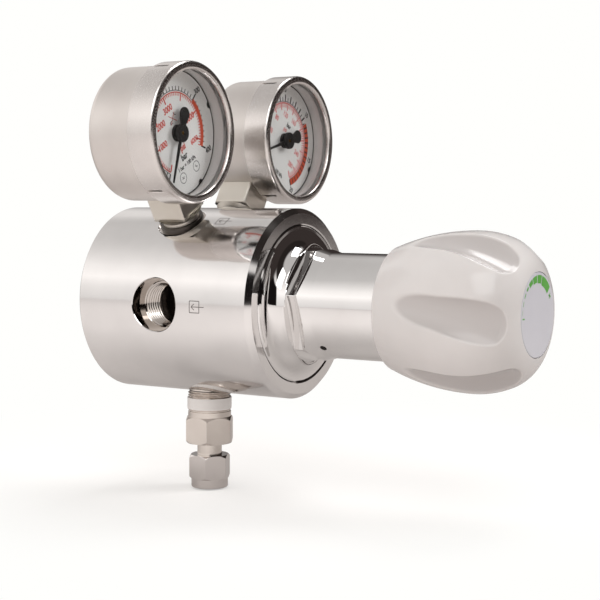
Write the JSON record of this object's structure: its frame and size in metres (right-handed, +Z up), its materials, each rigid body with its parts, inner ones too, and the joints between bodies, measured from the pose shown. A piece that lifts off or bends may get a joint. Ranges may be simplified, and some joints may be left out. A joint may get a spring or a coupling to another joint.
{
  "type": "gas pressure regulator",
  "caption": "Two-gauge diaphragm gas regulator: round barrel with side ports, long bonnet with a fluted knob, inlet and outlet gauges, relief valve below.",
  "frame": {"origin": "centre of the barrel's flat rear mounting face", "axes": "-Y runs forwards along the barrel's axis to the knob, +Z is up, the inlet port is on the -X side and the outlet on the +X side"},
  "size_m": [0.1212, 0.1693, 0.1589],
  "materials": {
    "chromed_brass": "bright chromium plate on brass",
    "machined_brass": "turned",
    "stainless_steel": "turned and drawn stainless steel",
    "sintered_steel": "sintered",
    "spring_steel": "drawn wire",
    "zinc_plated_steel": "bright zinc plate",
    "moulded_knob_plastic": "moulded, semi-gloss, off-white",
    "badge_film": "printed badge, white with a green wedge",
    "label_film": "bare white film with a red edge line",
    "valve_seat_plastic": "machined fluoropolymer",
    "seal_rubber": "moulded",
    "polished_gauge_steel": "polished and brushed stainless sheet",
    "nickel_plated_brass": "nickel plate on brass bar",
    "washer_steel": "zinc-plated steel with a bonded seal",
    "gauge_glass": "flat clear instrument glass",
    "dial_enamel": "white printed aluminium",
    "pointer_black": "matt black",
    "movement_brass": "stamped and cut brass",
    "tube_bronze": "drawn phosphor bronze"
  },
  "bodies": {
    "root": {"back_ferrule": "stainless_steel", "body": "chromed_brass", "bonnet": "chromed_brass", "diaphragm": "stainless_steel", "filter_ring": "stainless_steel", "front_ferrule": "stainless_steel", "high_gauge_bezel": "polished_gauge_steel", "high_gauge_blowout_plug": "seal_rubber", "high_gauge_bourdon_tube": "tube_bronze", "high_gauge_case": "polished_gauge_steel", "high_gauge_dial": "dial_enamel", "high_gauge_gasket": "seal_rubber", "high_gauge_movement_frame": "movement_brass", "high_gauge_socket": "nickel_plated_brass", "high_gauge_washer": "washer_steel", "high_gauge_window": "gauge_glass", "inlet_filter": "sintered_steel", "low_gauge_bezel": "polished_gauge_steel", "low_gauge_blowout_plug": "seal_rubber", "low_gauge_bourdon_tube": "tube_bronze", "low_gauge_case": "polished_gauge_steel", "low_gauge_dial": "dial_enamel", "low_gauge_gasket": "seal_rubber", "low_gauge_movement_frame": "movement_brass", "low_gauge_socket": "nickel_plated_brass", "low_gauge_washer": "washer_steel", "low_gauge_window": "gauge_glass", "main_spring": "spring_steel", "outlet_nut": "stainless_steel", "poppet_spring": "spring_steel", "relief_band": "label_film", "relief_body": "stainless_steel", "relief_cap": "stainless_steel", "relief_spring": "spring_steel", "slip_ring": "machined_brass", "valve_nozzle": "machined_brass", "valve_seat": "valve_seat_plastic"},
    "spring_seat": {"spring_button": "machined_brass", "thrust_ball": "spring_steel"},
    "knob": {"knob": "moulded_knob_plastic", "knob_hub": "machined_brass", "knob_badge": "badge_film", "knob_screw": "zinc_plated_steel", "adjusting_screw": "zinc_plated_steel"},
    "diaphragm_plate": {"diaphragm_plate": "machined_brass"},
    "valve_poppet": {"valve_poppet": "stainless_steel"},
    "relief_poppet": {"relief_poppet": "machined_brass", "relief_seal": "seal_rubber"},
    "high_sector": {"high_gauge_sector_gear": "movement_brass"},
    "high_pointer": {"high_gauge_pointer": "pointer_black", "high_gauge_pinion": "movement_brass"},
    "high_link": {"high_gauge_link": "movement_brass"},
    "low_sector": {"low_gauge_sector_gear": "movement_brass"},
    "low_pointer": {"low_gauge_pointer": "pointer_black", "low_gauge_pinion": "movement_brass"},
    "low_link": {"low_gauge_link": "movement_brass"}
  },
  "joints": [
    {"name": "spring_seat_slide", "type": "slide", "parent": "root", "child": "spring_seat", "axis": [0, 1, 0], "range_m": [0, 0.0075], "deforming": ["main_spring"]},
    {"name": "knob_turn", "type": "hinge", "parent": "spring_seat", "child": "knob", "pos_m": [0, -0.14, 0], "axis": [0, 1, 0], "range_deg": [0, 1800]},
    {"name": "diaphragm_slide", "type": "slide", "parent": "root", "child": "diaphragm_plate", "axis": [0, 1, 0], "range_m": [0, 0.0008], "stiffness_N_per_m": 400, "deforming": ["diaphragm"]},
    {"name": "valve_poppet_slide", "type": "slide", "parent": "root", "child": "valve_poppet", "axis": [0, 1, 0], "range_m": [0, 0.0008], "deforming": ["poppet_spring"]},
    {"name": "relief_poppet_slide", "type": "slide", "parent": "root", "child": "relief_poppet", "axis": [0, 0, -1], "range_m": [0, 0.0015], "stiffness_N_per_m": 2000, "deforming": ["relief_spring"]},
    {"name": "high_sector_turn", "type": "hinge", "parent": "root", "child": "high_sector", "pos_m": [-0.02563, -0.0385, 0.0579], "axis": [0, 1, 0], "range_deg": [-45, 0], "stiffness_Nm_per_rad": 0.004, "springref_deg": 2.86},
    {"name": "high_pointer_turn", "type": "hinge", "parent": "root", "child": "high_pointer", "pos_m": [-0.0355, -0.0485, 0.06149], "axis": [0, 1, 0], "range_deg": [0, 270]},
    {"name": "high_link_turn", "type": "hinge", "parent": "high_sector", "child": "high_link", "pos_m": [-0.0212, -0.0385, 0.05868], "axis": [0, 1, 0], "range_deg": [0, 45]},
    {"name": "low_sector_turn", "type": "hinge", "parent": "root", "child": "low_sector", "pos_m": [0.03732, -0.0385, 0.05115], "axis": [0, 1, 0], "range_deg": [-45, 0], "stiffness_Nm_per_rad": 0.004, "springref_deg": 2.86},
    {"name": "low_pointer_turn", "type": "hinge", "parent": "root", "child": "low_pointer", "pos_m": [0.0355, -0.0485, 0.06149], "axis": [0, 1, 0], "range_deg": [0, 270]},
    {"name": "low_link_turn", "type": "hinge", "parent": "low_sector", "child": "low_link", "pos_m": [0.04022, -0.0385, 0.0477], "axis": [0, 1, 0], "range_deg": [0, 45]}
  ],
  "couplings": [
    {"joint": "spring_seat_slide", "follows": "knob_turn", "m_per_rad": 0.00023873},
    {"joint": "valve_poppet_slide", "follows": "diaphragm_slide", "ratio": 1},
    {"joint": "high_pointer_turn", "follows": "high_sector_turn", "ratio": -6},
    {"joint": "high_link_turn", "follows": "high_sector_turn", "ratio": -1},
    {"joint": "low_pointer_turn", "follows": "low_sector_turn", "ratio": -6},
    {"joint": "low_link_turn", "follows": "low_sector_turn", "ratio": -1}
  ]
}
